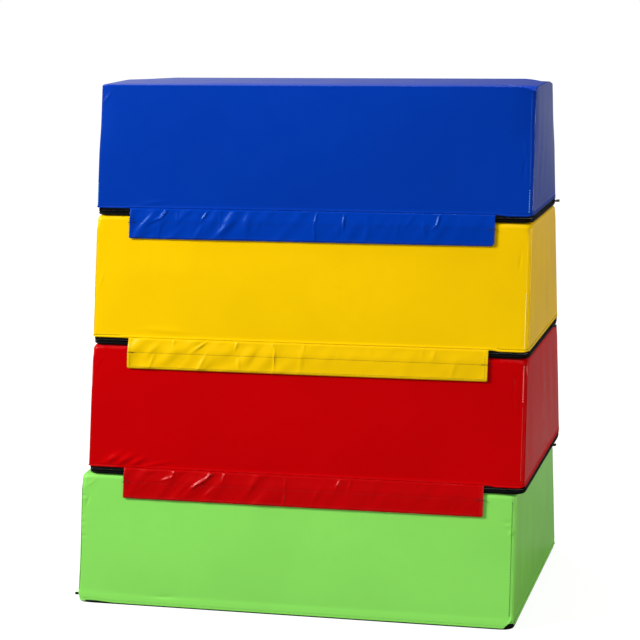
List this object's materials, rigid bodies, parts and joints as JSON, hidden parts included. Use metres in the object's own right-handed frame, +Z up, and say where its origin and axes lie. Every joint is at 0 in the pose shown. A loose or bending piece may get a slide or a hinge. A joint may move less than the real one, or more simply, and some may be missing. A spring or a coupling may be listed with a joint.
{
  "type": "foam vault trapezoid",
  "caption": "Soft gymnastics vault: foam blocks in zipped vinyl covers stack into a trapezoid, and side flaps with hook strips hold each block to the one below.",
  "frame": {"origin": "on the floor, at the middle of the vault's footprint", "axes": "+Z up through the stack; X along the vault, with the zips' closed end of the upper blocks at +X; -Y is the front face, and front and back both slope in towards the top"},
  "size_m": [1.0802, 0.7196, 1.2],
  "materials": {
    "green_vinyl": "satin",
    "red_vinyl": "gloss",
    "yellow_vinyl": "gloss",
    "blue_vinyl": "gloss",
    "black_vinyl": "satin",
    "foam": "matte",
    "zip_tape": "matte",
    "zip_metal": "satin",
    "hook_tape": "matte",
    "loop_tape": "matte"
  },
  "bodies": {
    "green_block": {"green_foam_core": "foam", "green_cover": "green_vinyl", "green_base_panel": "black_vinyl", "green_zip": "zip_tape", "green_front_loop_strip": "loop_tape", "green_back_loop_strip": "loop_tape"},
    "red_block": {"red_foam_core": "foam", "red_cover": "red_vinyl", "red_base_panel": "black_vinyl", "red_zip": "zip_tape", "red_front_loop_strip": "loop_tape", "red_back_loop_strip": "loop_tape"},
    "yellow_block": {"yellow_foam_core": "foam", "yellow_cover": "yellow_vinyl", "yellow_base_panel": "black_vinyl", "yellow_zip": "zip_tape", "yellow_front_loop_strip": "loop_tape", "yellow_back_loop_strip": "loop_tape"},
    "blue_block": {"blue_foam_core": "foam", "blue_cover": "blue_vinyl", "blue_base_panel": "black_vinyl", "blue_zip": "zip_tape"},
    "red_front_flap": {"red_front_flap": "red_vinyl", "red_front_hook_strip": "hook_tape"},
    "red_back_flap": {"red_back_flap": "red_vinyl", "red_back_hook_strip": "hook_tape"},
    "yellow_front_flap": {"yellow_front_flap": "yellow_vinyl", "yellow_front_hook_strip": "hook_tape"},
    "yellow_back_flap": {"yellow_back_flap": "yellow_vinyl", "yellow_back_hook_strip": "hook_tape"},
    "blue_front_flap": {"blue_front_flap": "blue_vinyl", "blue_front_hook_strip": "hook_tape"},
    "blue_back_flap": {"blue_back_flap": "blue_vinyl", "blue_back_hook_strip": "hook_tape"},
    "green_zip_slider": {"green_zip_slider": "zip_metal"},
    "green_zip_pull": {"green_zip_pull": "zip_metal"},
    "red_zip_slider": {"red_zip_slider": "zip_metal"},
    "red_zip_pull": {"red_zip_pull": "zip_metal"},
    "yellow_zip_slider": {"yellow_zip_slider": "zip_metal"},
    "yellow_zip_pull": {"yellow_zip_pull": "zip_metal"},
    "blue_zip_slider": {"blue_zip_slider": "zip_metal"},
    "blue_zip_pull": {"blue_zip_pull": "zip_metal"}
  },
  "joints": [
    {"name": "red_block_lift", "type": "slide", "parent": "green_block", "child": "red_block", "axis": [0, 0, 1], "range_m": [0, 0.36]},
    {"name": "yellow_block_lift", "type": "slide", "parent": "red_block", "child": "yellow_block", "axis": [0, 0, 1], "range_m": [0, 0.36]},
    {"name": "blue_block_lift", "type": "slide", "parent": "yellow_block", "child": "blue_block", "axis": [0, 0, 1], "range_m": [0, 0.36]},
    {"name": "red_front_flap_peel", "type": "hinge", "parent": "red_block", "child": "red_front_flap", "pos_m": [0.008, -0.30316, 0.318], "axis": [-1, 0, 0], "range_deg": [0, 160]},
    {"name": "red_back_flap_peel", "type": "hinge", "parent": "red_block", "child": "red_back_flap", "pos_m": [0.008, 0.30316, 0.318], "axis": [1, 0, 0], "range_deg": [0, 160]},
    {"name": "yellow_front_flap_peel", "type": "hinge", "parent": "yellow_block", "child": "yellow_front_flap", "pos_m": [0.008, -0.24879, 0.618], "axis": [-1, 0, 0], "range_deg": [0, 160]},
    {"name": "yellow_back_flap_peel", "type": "hinge", "parent": "yellow_block", "child": "yellow_back_flap", "pos_m": [0.008, 0.24879, 0.618], "axis": [1, 0, 0], "range_deg": [0, 160]},
    {"name": "blue_front_flap_peel", "type": "hinge", "parent": "blue_block", "child": "blue_front_flap", "pos_m": [0.008, -0.19441, 0.918], "axis": [-1, 0, 0], "range_deg": [0, 160]},
    {"name": "blue_back_flap_peel", "type": "hinge", "parent": "blue_block", "child": "blue_back_flap", "pos_m": [0.008, 0.19441, 0.918], "axis": [1, 0, 0], "range_deg": [0, 160]},
    {"name": "green_zip_slide", "type": "slide", "parent": "green_block", "child": "green_zip_slider", "axis": [0, 1, 0], "range_m": [0, 0.653]},
    {"name": "green_zip_pull_turn", "type": "hinge", "parent": "green_zip_slider", "child": "green_zip_pull", "pos_m": [-0.5284, -0.32549, 0.01], "axis": [0, 0, 1], "range_deg": [-100, 80]},
    {"name": "red_zip_slide", "type": "slide", "parent": "red_block", "child": "red_zip_slider", "axis": [0, -1, 0], "range_m": [-0.123, 0.422]},
    {"name": "red_zip_pull_turn", "type": "hinge", "parent": "red_zip_slider", "child": "red_zip_pull", "pos_m": [0.5284, 0.14821, 0.31], "axis": [0, 0, 1], "range_deg": [-145, 35]},
    {"name": "yellow_zip_slide", "type": "slide", "parent": "yellow_block", "child": "yellow_zip_slider", "axis": [0, -1, 0], "range_m": [-0.089, 0.347]},
    {"name": "yellow_zip_pull_turn", "type": "hinge", "parent": "yellow_zip_slider", "child": "yellow_zip_pull", "pos_m": [0.5284, 0.12784, 0.61], "axis": [0, 0, 1], "range_deg": [-140, 40]},
    {"name": "blue_zip_slide", "type": "slide", "parent": "blue_block", "child": "blue_zip_slider", "axis": [0, -1, 0], "range_m": [0, 0.327]},
    {"name": "blue_zip_pull_turn", "type": "hinge", "parent": "blue_zip_slider", "child": "blue_zip_pull", "pos_m": [0.5284, 0.16236, 0.91], "axis": [0, 0, 1], "range_deg": [-140, 40]}
  ]
}
